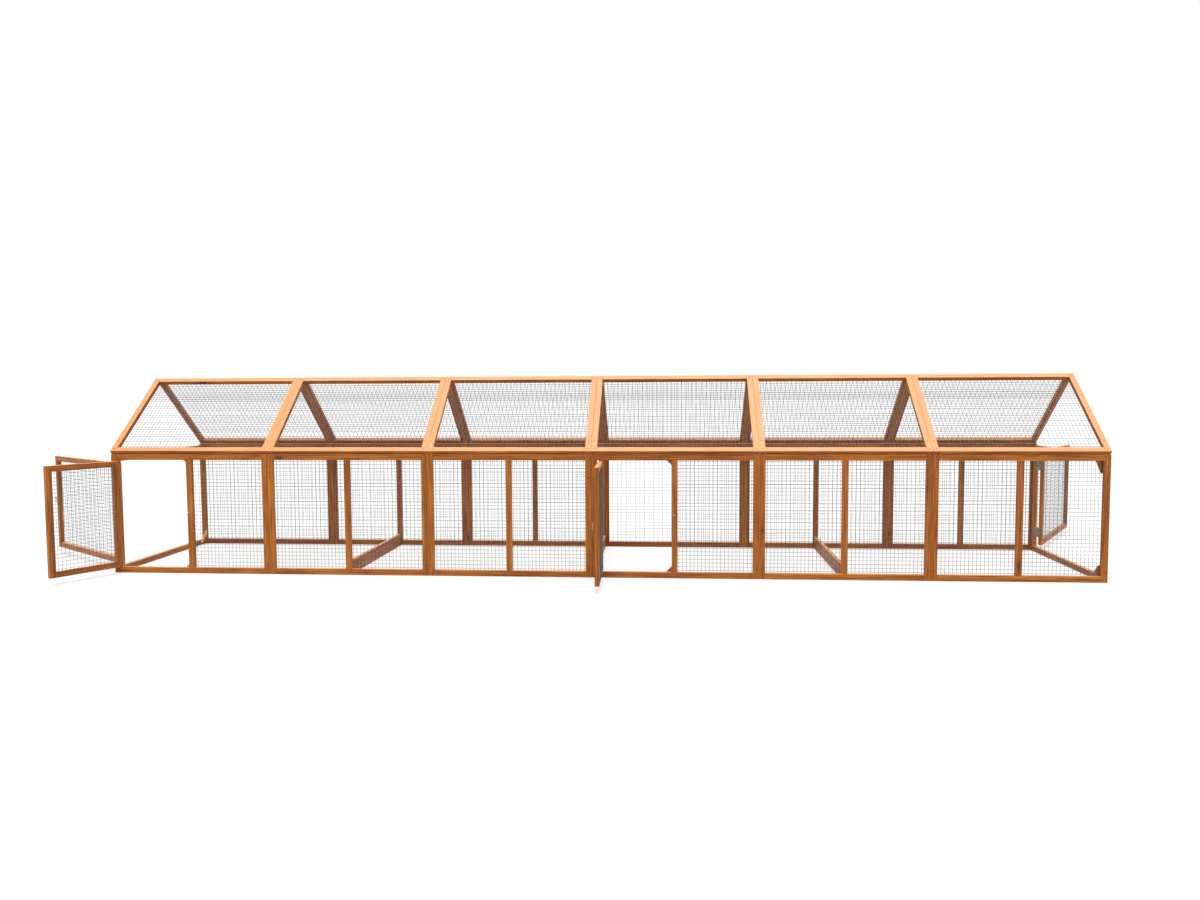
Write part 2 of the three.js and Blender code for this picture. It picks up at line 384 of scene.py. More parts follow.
def stained_timber():
    """Stained softwood: streaks along each stick, growth bands, a few knots, paler edges and
    painted highlights on top.
    """
    material, tree = new_material("stained_timber")
    if tree is None:
        return material
    settings = bpy.context.scene.run_timber
    shader = tree.nodes["Principled BSDF"]
    grain = own_attribute(tree, "grain", "Vector")
    tone = own_attribute(tree, "tone")
    edge = own_attribute(tree, "edge")
    top_highlight_mask = own_attribute(tree, "top_highlight_mask")

    streaks = noise_texture(tree, scaled_vector(tree, grain, STREAK_SCALE), 1.0, 6.0)
    streaks.inputs["Roughness"].default_value = 0.62

    bands = add_node(tree, "ShaderNodeTexWave", wave_type="RINGS", rings_direction="X")
    bands.inputs["Scale"].default_value = 1.0
    bands.inputs["Distortion"].default_value = 5.0
    bands.inputs["Detail"].default_value = 2.0
    bands.inputs["Detail Scale"].default_value = 0.7
    connect(tree, scaled_vector(tree, grain, BAND_SCALE), bands.inputs["Vector"])

    blotches = noise_texture(tree, scaled_vector(tree, grain, BLOTCH_SCALE), 1.0, 2.0)

    knots = add_node(tree, "ShaderNodeTexVoronoi", feature="F1")
    knots.inputs["Scale"].default_value = 1.0
    connect(tree, scaled_vector(tree, grain, KNOT_SCALE), knots.inputs["Vector"])
    knot_heart = value_map(tree, knots.outputs["Distance"], 0.055, 0.10, 1.0, 0.0)
    knot_halo = value_map(tree, knots.outputs["Distance"], 0.06, 0.26, 0.55, 0.0)

    streak_factor = value_map(tree, streaks.outputs["Fac"], 0.34, 0.68)
    colour = mixed_colour(tree, streak_factor, settings.deep_stain, settings.light_stain)
    band_factor = value_map(tree, bands.outputs["Fac"], 0.35, 0.95, 0.0, 0.45)
    colour = mixed_colour(tree, band_factor, colour, settings.deep_stain)
    pale_factor = value_map(tree, blotches.outputs["Fac"], 0.5, 0.72, 0.0, 0.45)
    colour = mixed_colour(tree, pale_factor, colour, settings.light_stain)
    dark_factor = value_map(tree, blotches.outputs["Fac"], 0.28, 0.48, 0.4, 0.0)
    colour = mixed_colour(tree, dark_factor, colour, settings.deep_stain)
    tone_colour = mixed_colour(tree, tone, DARKEST_TONE, FULL_TONE)
    colour = mixed_colour(tree, 1.0, colour, tone_colour, blend="MULTIPLY")
    colour = mixed_colour(tree, knot_halo, colour, settings.deep_stain)
    colour = mixed_colour(tree, knot_heart, colour, settings.knot)
    edge_factor = value_map(tree, edge, 0.0, 1.0, 0.0, 0.28)
    colour = mixed_colour(tree, edge_factor, colour, settings.light_stain)
    # Painted highlight: faces that look up are mixed towards a paler colour, standing in for the
    # sheen of the overhead light.
    top_highlight_factor = value_map(tree, top_highlight_mask, 0.25, 0.85, 0.0, 0.7)
    colour = mixed_colour(tree, top_highlight_factor, colour, settings.painted_top_highlight)
    connect(tree, colour, shader.inputs["Base Color"])

    roughness = value_map(tree, streaks.outputs["Fac"], 0.3, 0.7, 0.58, 0.42)
    connect(tree, roughness, shader.inputs["Roughness"])
    add_bump(tree, shader, streaks.outputs["Fac"], 0.35, 0.0006)
    shader.inputs["Specular IOR Level"].default_value = 0.4
    return material


def plated_metal(name, base, metallic, roughness, spot_scale, specular=0.5):
    """Plated or drawn metal: an uneven coat with a soft spangle."""
    material, tree = new_material(name)
    if tree is None:
        return material
    shader = tree.nodes["Principled BSDF"]
    place = add_node(tree, "ShaderNodeTexCoord").outputs["Object"]
    cloud = noise_texture(tree, place, spot_scale, 4.0)
    coat = value_map(tree, cloud.outputs["Fac"], 0.35, 0.68)
    dull = tuple(0.72 * part for part in base)
    bright = tuple(min(1.0, 1.22 * part) for part in base)
    connect(tree, mixed_colour(tree, coat, dull, bright), shader.inputs["Base Color"])
    rough = value_map(tree, cloud.outputs["Fac"], 0.35, 0.7, roughness + 0.12, roughness - 0.08)
    connect(tree, rough, shader.inputs["Roughness"])
    shader.inputs["Metallic"].default_value = metallic
    shader.inputs["Specular IOR Level"].default_value = specular
    add_bump(tree, shader, cloud.outputs["Fac"], 0.15, 0.0001)
    return material


def galvanised_wire():
    """The dull coat of the welded wire."""
    colour = tuple(bpy.context.scene.run_mesh.wire_colour)
    return plated_metal("galvanised_wire", colour, 0.35, 0.5, 60.0)


def zinc_plate():
    """The yellowish plate of the hinges, hook screws and staples."""
    colour = tuple(bpy.context.scene.run_hardware.zinc_colour)
    return plated_metal("zinc_plate", colour, 0.15, 0.55, 180.0, specular=0.3)


def bright_zinc():
    """The plate of the screw eyes."""
    colour = tuple(bpy.context.scene.run_hardware.bright_zinc_colour)
    return plated_metal("bright_zinc", colour, 0.7, 0.3, 220.0)


def dark_screw():
    """The dark coat of the screws through the frames."""
    colour = tuple(bpy.context.scene.run_hardware.dark_screw_colour)
    return plated_metal("dark_screw", colour, 0.2, 0.55, 180.0)


def bright_brass():
    """The drawn brass of the latch hooks."""
    colour = tuple(bpy.context.scene.run_hardware.brass_colour)
    return plated_metal("bright_brass", colour, 0.9, 0.32, 220.0)


# ---------- Mesh helpers ----------
def finish_piece(name, mesh, material, body, replaced=()):
    """Links a finished mesh as one piece of the run, with its place in its vertices."""
    mesh.name = name
    mesh.materials.clear()
    mesh.materials.append(material)
    piece = bpy.data.objects.new(name, mesh)
    bpy.context.scene.collection.objects.link(piece)
    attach(piece, body)
    if replaced:
        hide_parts(*replaced)
    return piece


class StickStack:
    """Collects separate sticks of timber in one mesh, each with its own grain."""

    def __init__(self, seed):
        self.bm = bmesh.new()
        self.grain = self.bm.verts.layers.float_vector.new("grain")
        self.tone = self.bm.verts.layers.float.new("tone")
        self.edge = self.bm.faces.layers.float.new("edge")
        # Mask of the painted highlight: how far each face looks up.
        self.top_highlight_mask = self.bm.faces.layers.float.new("top_highlight_mask")
        self.random = random.Random(seed)

    def add_prism(self, outline, thickness, place, grain_up=False):
        """A chamfered prism: an outline in local x and y, thick along local z, then placed.

        Its grain runs along local x, or along local y where it goes up.
        """
        chamfer = bpy.context.scene.run_timber.chamfer
        made = bmesh.new()
        low = [made.verts.new((x, y, 0.0)) for x, y in outline]
        high = [made.verts.new((x, y, thickness)) for x, y in outline]
        made.faces.new(list(reversed(low)))
        made.faces.new(high)
        count = len(outline)
        for i in range(count):
            j = (i + 1) % count
            made.faces.new((low[i], low[j], high[j], high[i]))
        faces_before = set(made.faces)
        result = bmesh.ops.bevel(
            made,
            geom=list(made.edges),
            offset=chamfer,
            segments=2,
            profile=0.6,
            affect="EDGES",
        )
        worn = set(result["faces"]) - faces_before
        offset = Vector([self.random.uniform(0.0, 20.0) for _ in range(3)])
        tone = self.random.random()
        copies = {}
        for vert in made.verts:
            new = self.bm.verts.new(place @ vert.co)
            local = vert.co.copy()
            if grain_up:
                local = Vector((vert.co.y, vert.co.x, vert.co.z))
            new[self.grain] = local + offset
            new[self.tone] = tone
            copies[vert] = new
        for face in made.faces:
            new_face = self.bm.faces.new([copies[vert] for vert in face.verts])
            new_face[self.edge] = 1.0 if face in worn else 0.0
            new_face.smooth = False
        made.free()

    def add_stick(self, length, width, thickness, place, grain_up=False):
        outline = ((0.0, 0.0), (length, 0.0), (length, width), (0.0, width))
        self.add_prism(outline, thickness, place, grain_up)

    def mesh(self):
        bmesh.ops.recalc_face_normals(self.bm, faces=self.bm.faces)
        # Each face's upward share, which sets how strongly the painted highlight shows on it.
        for face in self.bm.faces:
            face[self.top_highlight_mask] = max(0.0, face.normal.z)
        mesh = bpy.data.meshes.new("timber")
        self.bm.to_mesh(mesh)
        self.bm.free()
        return mesh


def frame_sticks(stack, width, height, thickness, place, mullions=0):
    """A frame in local x and y, thick along local z: full stiles with rails butted between."""
    gap = bpy.context.scene.run_timber.joint_gap
    opening = (width - (mullions + 2) * STICK_WIDTH) / (mullions + 1)
    for i in range(mullions + 2):
        x = i * (opening + STICK_WIDTH)
        inset = 0.0 if i in (0, mullions + 1) else STICK_WIDTH + gap
        at = place @ Matrix.Translation((x, inset, 0.0))
        stack.add_stick(STICK_WIDTH, height - 2 * inset, thickness, at, grain_up=True)
    for y in (0.0, height - STICK_WIDTH):
        at = place @ Matrix.Translation((STICK_WIDTH + gap, y, 0.0))
        stack.add_stick(width - 2 * (STICK_WIDTH + gap), STICK_WIDTH, thickness, at)


def one_post_sticks(stack, width, height, thickness, place, post_first):
    """A frame of one post with a top and a bottom rail, drawn the same way."""
    gap = bpy.context.scene.run_timber.joint_gap
    post_x = 0.0 if post_first else width - STICK_WIDTH
    rail_x = STICK_WIDTH + gap if post_first else 0.0
    post = place @ Matrix.Translation((post_x, 0.0, 0.0))
    stack.add_stick(STICK_WIDTH, height, thickness, post, grain_up=True)
    for y in (0.0, height - STICK_WIDTH):
        rail = place @ Matrix.Translation((rail_x, y, 0.0))
        stack.add_stick(width - STICK_WIDTH - gap, STICK_WIDTH, thickness, rail)


def standing(x, y, z):
    """A place for a flat drawing that stands up: local x along X, y up and z towards -Y."""
    return Matrix.Translation((x, y, z)) @ Matrix.Rotation(QUARTER_TURN, 4, "X")


def skin(bm, first, second):
    """Smooth faces between two rings with as many vertices."""
    for k in range(len(first)):
        j = (k + 1) % len(first)
        face = bm.faces.new((first[k], first[j], second[j], second[k]))
        face.smooth = True


def round_bar(bm, points, radius, sides=12, closed=False):
    """Adds a round bar along the points, with capped ends unless it closes on itself."""
    rings = []
    count = len(points)
    normal = None
    for i, point in enumerate(points):
        before = points[i - 1] if (closed or i > 0) else point
        after = points[(i + 1) % count] if (closed or i < count - 1) else point
        along = (after - before).normalized()
        if normal is None:
            normal = along.orthogonal().normalized()
        normal = (normal - along * normal.dot(along)).normalized()
        other = along.cross(normal)
        ring = []
        for k in range(sides):
            angle = math.tau * k / sides
            outward = math.cos(angle) * normal + math.sin(angle) * other
            ring.append(bm.verts.new(point + radius * outward))
        rings.append(ring)
    spans = count if closed else count - 1
    for i in range(spans):
        skin(bm, rings[i], rings[(i + 1) % count])
    if not closed:
        bm.faces.new(list(reversed(rings[0])))
        bm.faces.new(rings[-1])


def arc(centre, radius, start, end, across, up, steps=8):
    """Points along an arc in the plane of two unit vectors, from one angle to another."""
    points = []
    for i in range(steps + 1):
        angle = start + (end - start) * i / steps
        points.append(centre + radius * (math.cos(angle) * across + math.sin(angle) * up))
    return points


def chamfered_plate(bm, low, high, chamfer):
    """Adds a small rectangular plate with broken edges."""
    made = bmesh.ops.create_cube(bm, size=1.0)
    size = Vector(high) - Vector(low)
    middle = (Vector(high) + Vector(low)) / 2
    for vert in made["verts"]:
        vert.co = Vector((vert.co.x * size.x, vert.co.y * size.y, vert.co.z * size.z)) + middle
    edges = {edge for vert in made["verts"] for edge in vert.link_edges}
    bmesh.ops.bevel(bm, geom=list(edges), offset=chamfer, segments=1, affect="EDGES")


def mesh_from(bm):
    bmesh.ops.recalc_face_normals(bm, faces=bm.faces)
    mesh = bpy.data.meshes.new("piece")
    bm.to_mesh(mesh)
    bm.free()
    return mesh


# ---------- Geometry Nodes ----------
WIRE_STEP = 0.08  # between the points of a wire that can stand off the flat
CROSSING_LEVEL = 2.8  # of the wires that cross over the uprights, in wire radii
WAVE_SCALE = 5.5
WIRE_SIDES = 6


def new_geometry_tree(name, inputs):
    """A node tree with a geometry output and the named inputs (name, socket type)."""
    tree = bpy.data.node_groups.new(name, "GeometryNodeTree")
    interface = tree.interface
    interface.new_socket("Geometry", in_out="INPUT", socket_type="NodeSocketGeometry")
    for label, kind in inputs:
        interface.new_socket(label, in_out="INPUT", socket_type=kind)
    interface.new_socket("Geometry", in_out="OUTPUT", socket_type="NodeSocketGeometry")
    return tree, tree.nodes.new("NodeGroupInput"), tree.nodes.new("NodeGroupOutput")


def math_node(tree, operation, first, second):
    node = add_node(tree, "ShaderNodeMath", operation=operation)
    set_input(tree, node.inputs[0], first)
    set_input(tree, node.inputs[1], second)
    return node.outputs[0]


def vector_of(tree, x=0.0, y=0.0, z=0.0):
    node = add_node(tree, "ShaderNodeCombineXYZ")
    for value, socket in zip((x, y, z), node.inputs):
        set_input(tree, socket, value)
    return node.outputs[0]


def wire_set(tree, pitch, across_size, along_size, turned, level):
    """Parallel wires: spread along one side of the sheet and running along the other."""
    gaps = math_node(tree, "FLOOR", math_node(tree, "DIVIDE", across_size, pitch), 0.0)
    count = math_node(tree, "ADD", gaps, 1.0)
    start = math_node(tree, "MULTIPLY", math_node(tree, "MULTIPLY", gaps, pitch), -0.5)
    half = math_node(tree, "MULTIPLY", along_size, 0.5)
    minus_half = math_node(tree, "MULTIPLY", along_size, -0.5)
    row = add_node(tree, "GeometryNodeMeshLine")
    connect(tree, count, row.inputs["Count"])
    line = add_node(tree, "GeometryNodeCurvePrimitiveLine")
    if turned:
        connect(tree, vector_of(tree, y=start, z=level), row.inputs["Start Location"])
        connect(tree, vector_of(tree, y=pitch), row.inputs["Offset"])
        connect(tree, vector_of(tree, x=minus_half), line.inputs["Start"])
        connect(tree, vector_of(tree, x=half), line.inputs["End"])
    else:
        connect(tree, vector_of(tree, x=start, z=level), row.inputs["Start Location"])
        connect(tree, vector_of(tree, x=pitch), row.inputs["Offset"])
        connect(tree, vector_of(tree, y=minus_half), line.inputs["Start"])
        connect(tree, vector_of(tree, y=half), line.inputs["End"])
    steps = add_node(tree, "GeometryNodeResampleCurve", mode="LENGTH")
    connect(tree, line.outputs["Curve"], steps.inputs["Curve"])
    steps.inputs["Length"].default_value = WIRE_STEP
    spread = add_node(tree, "GeometryNodeInstanceOnPoints")
    connect(tree, row.outputs["Mesh"], spread.inputs["Points"])
    connect(tree, steps.outputs["Curve"], spread.inputs["Instance"])
    return spread.outputs["Instances"]


def welded_sheet_tree():
    """A flat sheet of welded mesh in local X and Y that stands a little off the flat, along +Z."""
    name = "welded_wire_sheet"
    if name in bpy.data.node_groups:
        return bpy.data.node_groups[name]
    inputs = (
        ("Width", "NodeSocketFloat"),
        ("Height", "NodeSocketFloat"),
        ("Pitch", "NodeSocketFloat"),
        ("Upright pitch", "NodeSocketFloat"),
        ("Wire radius", "NodeSocketFloat"),
        ("Waviness", "NodeSocketFloat"),
        ("Seed", "NodeSocketFloat"),
        ("Material", "NodeSocketMaterial"),
    )
    tree, given, result = new_geometry_tree(name, inputs)
    radius = given.outputs["Wire radius"]
    width, height = given.outputs["Width"], given.outputs["Height"]
    uprights = wire_set(tree, given.outputs["Upright pitch"], width, height, False, radius)
    upper_level = math_node(tree, "MULTIPLY", radius, CROSSING_LEVEL)
    levels = wire_set(tree, given.outputs["Pitch"], height, width, True, upper_level)
    both = add_node(tree, "GeometryNodeJoinGeometry")
    connect(tree, uprights, both.inputs[0])
    connect(tree, levels, both.inputs[0])
    real = add_node(tree, "GeometryNodeRealizeInstances")
    connect(tree, both.outputs[0], real.inputs[0])

    place = add_node(tree, "GeometryNodeInputPosition").outputs[0]
    split = add_node(tree, "ShaderNodeSeparateXYZ")
    connect(tree, place, split.inputs[0])
    seeded = vector_of(tree, split.outputs[0], split.outputs[1], given.outputs["Seed"])
    swell = noise_texture(tree, seeded, WAVE_SCALE, 1.0)
    lift = math_node(tree, "MULTIPLY", swell.outputs["Fac"], given.outputs["Waviness"])
    moved = add_node(tree, "GeometryNodeSetPosition")
    connect(tree, real.outputs[0], moved.inputs["Geometry"])
    connect(tree, vector_of(tree, z=lift), moved.inputs["Offset"])

    section = add_node(tree, "GeometryNodeCurvePrimitiveCircle", mode="RADIUS")
    section.inputs["Resolution"].default_value = WIRE_SIDES
    connect(tree, radius, section.inputs["Radius"])
    bars = add_node(tree, "GeometryNodeCurveToMesh")
    connect(tree, moved.outputs["Geometry"], bars.inputs["Curve"])
    connect(tree, section.outputs["Curve"], bars.inputs["Profile Curve"])
    bars.inputs["Fill Caps"].default_value = True
    finished = add_node(tree, "GeometryNodeRealizeInstances")
    connect(tree, bars.outputs["Mesh"], finished.inputs[0])
    paint = add_node(tree, "GeometryNodeSetMaterial")
    connect(tree, finished.outputs[0], paint.inputs["Geometry"])
    connect(tree, given.outputs["Material"], paint.inputs["Material"])
    connect(tree, paint.outputs["Geometry"], result.inputs[0])
    return tree


def scatter_tree():
    """One copy of a small fixing on each point, turned by the point's own angles."""
    name = "fixings_on_points"
    if name in bpy.data.node_groups:
        return bpy.data.node_groups[name]
    inputs = (("Fixing", "NodeSocketObject"), ("Material", "NodeSocketMaterial"))
    tree, given, result = new_geometry_tree(name, inputs)
    fixing = add_node(tree, "GeometryNodeObjectInfo")
    connect(tree, given.outputs["Fixing"], fixing.inputs["Object"])
    turn = add_node(tree, "GeometryNodeInputNamedAttribute", data_type="FLOAT_VECTOR")
    turn.inputs["Name"].default_value = "turn"
    angles = add_node(tree, "FunctionNodeEulerToRotation")
    connect(tree, turn.outputs["Attribute"], angles.inputs[0])
    spread = add_node(tree, "GeometryNodeInstanceOnPoints")
    connect(tree, given.outputs["Geometry"], spread.inputs["Points"])
    connect(tree, fixing.outputs["Geometry"], spread.inputs["Instance"])
    connect(tree, angles.outputs[0], spread.inputs["Rotation"])
    real = add_node(tree, "GeometryNodeRealizeInstances")
    connect(tree, spread.outputs["Instances"], real.inputs[0])
    paint = add_node(tree, "GeometryNodeSetMaterial")
    connect(tree, real.outputs[0], paint.inputs["Geometry"])
    connect(tree, given.outputs["Material"], paint.inputs["Material"])
    connect(tree, paint.outputs["Geometry"], result.inputs[0])
    return tree


def evaluate_tree(tree, base_mesh, values):
    """Runs a node tree on a mesh with the given inputs, and returns the result as a plain mesh."""
    carrier = bpy.data.objects.new("carrier", base_mesh)
    bpy.context.scene.collection.objects.link(carrier)
    modifier = carrier.modifiers.new("nodes", "NODES")
    modifier.node_group = tree
    for item in tree.interface.items_tree:
        if item.in_out == "INPUT" and item.name in values:
            modifier[item.identifier] = values[item.name]
    graph = bpy.context.evaluated_depsgraph_get()
    mesh = bpy.data.meshes.new_from_object(carrier.evaluated_get(graph))
    carrier.modifiers.clear()
    bpy.data.objects.remove(carrier)
    return mesh


def wire_sheet(width, height, seed, wide=False):
    """The mesh of one welded sheet centred on the origin, with a wide upright pitch if asked."""
    settings = bpy.context.scene.run_mesh
    values = {
        "Width": width,
        "Height": height,
        "Pitch": settings.pitch,
        "Upright pitch": settings.wide_pitch if wide else settings.pitch,
        "Wire radius": settings.wire_radius,
        "Waviness": settings.waviness,
        "Seed": float(seed),
        "Material": galvanised_wire(),
    }
    return evaluate_tree(welded_sheet_tree(), bpy.data.meshes.new("empty"), values)


def scattered(fixing_mesh, places, material):
    """Copies of a small mesh at the given matrices, as one mesh."""
    fixing = bpy.data.objects.new("fixing", fixing_mesh)
    bpy.context.scene.collection.objects.link(fixing)
    points = bpy.data.meshes.new("points")
    points.from_pydata([place.translation for place in places], [], [])
    turn = points.attributes.new("turn", "FLOAT_VECTOR", "POINT")
    angles = [value for place in places for value in place.to_euler("XYZ")]
    turn.data.foreach_set("vector", angles)
    values = {"Fixing": fixing, "Material": material}
    mesh = evaluate_tree(scatter_tree(), points, values)
    bpy.data.objects.remove(fixing)
    return mesh


def joined(meshes):
    """One mesh from several that are in place already."""
    bm = bmesh.new()
    for mesh in meshes:
        bm.from_mesh(mesh)
        bpy.data.meshes.remove(mesh)
    result = bpy.data.meshes.new("joined")
    bm.to_mesh(result)
    bm.free()
    return result


# ---------- Door places ----------
def at_front(name):
    return name.startswith("front")


def door_facts(name):
    """Where a door hangs: its pin, its shut and open headings, its inward side and its width."""
    hinge = JOINTS[f"{name}_hinge"]
    pin = Vector(hinge["pos_m"])
    pin.z = 0.0
    side = -hinge["axis"][2]
    if at_front(name):
        shut = 0.0
    else:
        shut = math.radians(90.0 if pin.x < 0 else -90.0)
    opened = math.radians(-hinge["range_deg"][0])
    low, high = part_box(f"{name}_frame")
    size = high - low
    heading = shut - side * opened
    reach = abs(size.x * math.cos(heading)) + abs(size.y * math.sin(heading))
    width = reach - DOOR_THICKNESS * abs(math.sin(2 * heading))
    return {
        "pin": pin,
        "side": side,
        "shut": Matrix.Translation(pin) @ Matrix.Rotation(shut, 4, "Z"),
        "open": Matrix.Translation(pin) @ Matrix.Rotation(heading, 4, "Z"),
        "width": width,
        "bottom": low.z,
        "height": size.z,
    }


def door_lap_inset(name):
    """How far in from a door's edge its wire sheet starts."""
    settings = bpy.context.scene.run_mesh
    lap = settings.door_lap if at_front(name) else settings.end_door_lap
    return STICK_WIDTH - lap


# ---------- Places of the panels ----------
def standing_in_box(node):
    """Place and size of a panel along X: width, height and thickness from its node's box."""
    low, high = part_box(node)
    size = high - low
    return standing(low.x, high.y, low.z), size.x, size.z, size.y


def standing_across(node):
    """The same for a panel or board that runs from the front to the back."""
    low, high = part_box(node)
    size = high - low
    turn = Matrix.Rotation(QUARTER_TURN, 4, "Z") @ Matrix.Rotation(QUARTER_TURN, 4, "X")
    return Matrix.Translation(low) @ turn, size.y, size.z, size.x


def roof_place(node):
    """Place of a roof frame's lower corner, with local y up the slope, and its slope length."""
    low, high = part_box(node)
    front = at_front(node)
    start_x = low.x if front else -high.x
    start_y = (low.y if front else -high.y) + ROOF_THICKNESS * math.sin(ROOF_PITCH)
    place = Matrix.Translation((start_x, start_y, low.z)) @ Matrix.Rotation(ROOF_PITCH, 4, "X")
    if not front:
        place = Matrix.Rotation(HALF_TURN, 4, "Z") @ place
    run_in = (high.y - low.y) - ROOF_THICKNESS * math.sin(ROOF_PITCH)
    return place, high.x - low.x, run_in / math.cos(ROOF_PITCH)


def bay_nodes(side, kind):
    return [f"{side}_{kind}_frame_{bay + 1}" for bay in range(BAY_COUNT)]


# ---------- Operators ----------
class RUN_OT_add_timber(bpy.types.Operator):
    """Wall frames, roof frames, end frames and cross boards, each stick with its own grain"""

    bl_idname = "rabbit_run.add_timber"
    bl_label = "Timber panels and cross boards"

    def execute(self, context):
        timber = stained_timber()
        seed = TIMBER_SEED
        for side in ("front", "back"):
            for node in bay_nodes(side, "wall"):
                stack = StickStack(seed)
                seed += 1
                place, width, height, thickness = standing_in_box(node)
                frame_sticks(stack, width, height, thickness, place, mullions=1)
                finish_piece(f"{node}_sticks", stack.mesh(), timber, "run", (node,))
            for node in bay_nodes(side, "roof"):
                stack = StickStack(seed)
                seed += 1
                place, width, slope = roof_place(node)
                frame_sticks(stack, width, slope, ROOF_THICKNESS, place)
                finish_piece(f"{node}_sticks", stack.mesh(), timber, "run", (node,))
        for node in ("left_end_frame", "right_end_frame"):
            stack = StickStack(seed)
            seed += 1
            place, width, height, thickness = standing_across(node)
            post_first = node.startswith("left")
            one_post_sticks(stack, width, height, thickness, place, post_first)
            finish_piece(f"{node}_sticks", stack.mesh(), timber, "run", (node,))
        for node in ("left_cross_board", "centre_cross_board", "right_cross_board"):
            stack = StickStack(seed)
            seed += 1
            place, width, height, thickness = standing_across(node)
            stack.add_stick(width, height, thickness, place)
            finish_piece(f"{node}_timber", stack.mesh(), timber, "run", (node,))
        return {"FINISHED"}


class RUN_OT_add_doors(bpy.types.Operator):
    """The four door frames, standing open as they hang"""

    bl_idname = "rabbit_run.add_doors"
    bl_label = "Doors"

    def execute(self, context):
        timber = stained_timber()
        for seed, name in enumerate(DOOR_NAMES, start=DOOR_SEED):
            door = door_facts(name)
            inner = HINGE_PROUD + DOOR_THICKNESS if door["side"] > 0 else -HINGE_PROUD
            place = door["open"] @ standing(HINGE_GAP / 2, inner, door["bottom"])
            stack = StickStack(seed)
            frame_sticks(stack, door["width"], door["height"], DOOR_THICKNESS, place)
            node = f"{name}_frame"
            finish_piece(f"{node}_sticks", stack.mesh(), timber, name, (node,))
        return {"FINISHED"}


ROOF_SHEET_INSET = 0.001  # from the lap of a wall sheet


def wall_sheets(side, bays):
    """Sheets for (bay, which part) pairs of one long wall; the part is full or right."""
    settings = bpy.context.scene.run_mesh
    sheets = []
    inner_limit = RUN_HALF_LENGTH - WALL_THICKNESS - 2 * NET_GAP
    for bay, part in bays:
        low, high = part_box(f"{side}_wall_frame_{bay}")
        lap_in = STICK_WIDTH - settings.lap
        left, right = low.x + lap_in, high.x - lap_in
        if part == "right":
            left = (low.x + high.x) / 2 + STICK_WIDTH / 2 - settings.lap
        left, right = max(left, -inner_limit), min(right, inner_limit)
        height = high.z - low.z - 2 * lap_in
        seed = bay + (0 if side == "front" else BACK_SHEET_SEED)
        mesh = wire_sheet(right - left, height, seed, wide=side == "back")
        middle = Vector(((left + right) / 2, high.y + NET_GAP, (low.z + high.z) / 2))
        turn = Matrix.Rotation(-QUARTER_TURN, 4, "X")
        if side == "back":
            middle.y = low.y - NET_GAP
            turn = Matrix.Rotation(QUARTER_TURN, 4, "X")
        mesh.transform(Matrix.Translation(middle) @ turn)
        sheets.append(mesh)
    return joined(sheets)


def roof_sheets(side):
    """The sheets under one slope of the roof, one for each bay."""
    settings = bpy.context.scene.run_mesh
    sheets = []
    for bay, node in enumerate(bay_nodes(side, "roof")):
        place, width, slope = roof_place(node)
        lap_in = STICK_WIDTH - settings.lap + ROOF_SHEET_INSET
        sheet_size = (width - 2 * lap_in, slope - 2 * lap_in)
        mesh = wire_sheet(*sheet_size, ROOF_SHEET_SEED + bay, wide=side == "back")
        middle = Matrix.Translation((width / 2, slope / 2, -NET_GAP))
        mesh.transform(place @ middle @ Matrix.Rotation(HALF_TURN, 4, "X"))
        sheets.append(mesh)
    return joined(sheets)


class RUN_OT_add_wire(bpy.types.Operator):
    """A welded wire sheet on the inner face of every panel and door"""

    bl_idname = "rabbit_run.add_wire"
    bl_label = "Wire sheets"

    def execute(self, context):
        wire = galvanised_wire()
        left_bays = ((1, "right"), (2, "full"), (3, "full"))
        right_bays = ((4, "right"), (5, "full"), (6, "full"))
        all_bays = tuple((bay + 1, "full") for bay in range(BAY_COUNT))
        walls = (
            ("front_wall_net_left", "front", left_bays),
            ("front_wall_net_right", "front", right_bays),
            ("back_wall_net", "back", all_bays),
        )
        for node, side, bays in walls:
            mesh = wall_sheets(side, bays)
            finish_piece(f"{node}_wire", mesh, wire, "run", (node,))
        for side in ("front", "back"):
            node = f"{side}_roof_net"
            finish_piece(f"{node}_wire", roof_sheets(side), wire, "run", (node,))
        for seed, name in enumerate(DOOR_NAMES, start=DOOR_SHEET_SEED):
            door = door_facts(name)
            lap_in = door_lap_inset(name)
            sheet_size = (door["width"] - 2 * lap_in, door["height"] - 2 * lap_in)
            mesh = wire_sheet(*sheet_size, seed, wide=not at_front(name))
            offset = door["side"] * (HINGE_PROUD + DOOR_THICKNESS + NET_GAP)
            x = HINGE_GAP / 2 + door["width"] / 2
            middle = Matrix.Translation((x, offset, door["bottom"] + door["height"] / 2))
            turn = Matrix.Rotation(-door["side"] * QUARTER_TURN, 4, "X")
            mesh.transform(door["open"] @ middle @ turn)
            node = f"{name}_net"
            finish_piece(f"{node}_wire", mesh, wire, name, (node,))
        return {"FINISHED"}


# ---------- Hardware sizes, in metres ----------
LEAF_THICKNESS = 0.0015
LEAF_DEPTH = 0.017
LEAF_CLEARANCE = 0.0003
LEAF_CHAMFER = 0.0003
HINGE_SCREW_RADIUS = 0.0026
HINGE_SCREW_SPREAD = 0.34  # from the middle screw to the others, as a share of the leaf
BARREL_RADIUS = 0.003
KNUCKLE_COUNT = 5
KNUCKLE_GAP = 0.0003
TAB_OVERLAP = 0.001  # of a knuckle's tab, past the barrel and into the leaf
TAB_CHAMFER = 0.0001
PIN_OVERHANG = 0.002
PIN_HEAD_RADIUS = BARREL_RADIUS * 0.62
LATCH_Z = 0.327
HOOK_WIRE = 0.0014
HOOK_BEND = 0.003
HOOK_RING = 0.004
HOOK_REACH = 0.030
HOOK_TIP = 0.011
HOOK_STAND_OFF = 0.009
HOOK_EDGE_INSET = 0.015
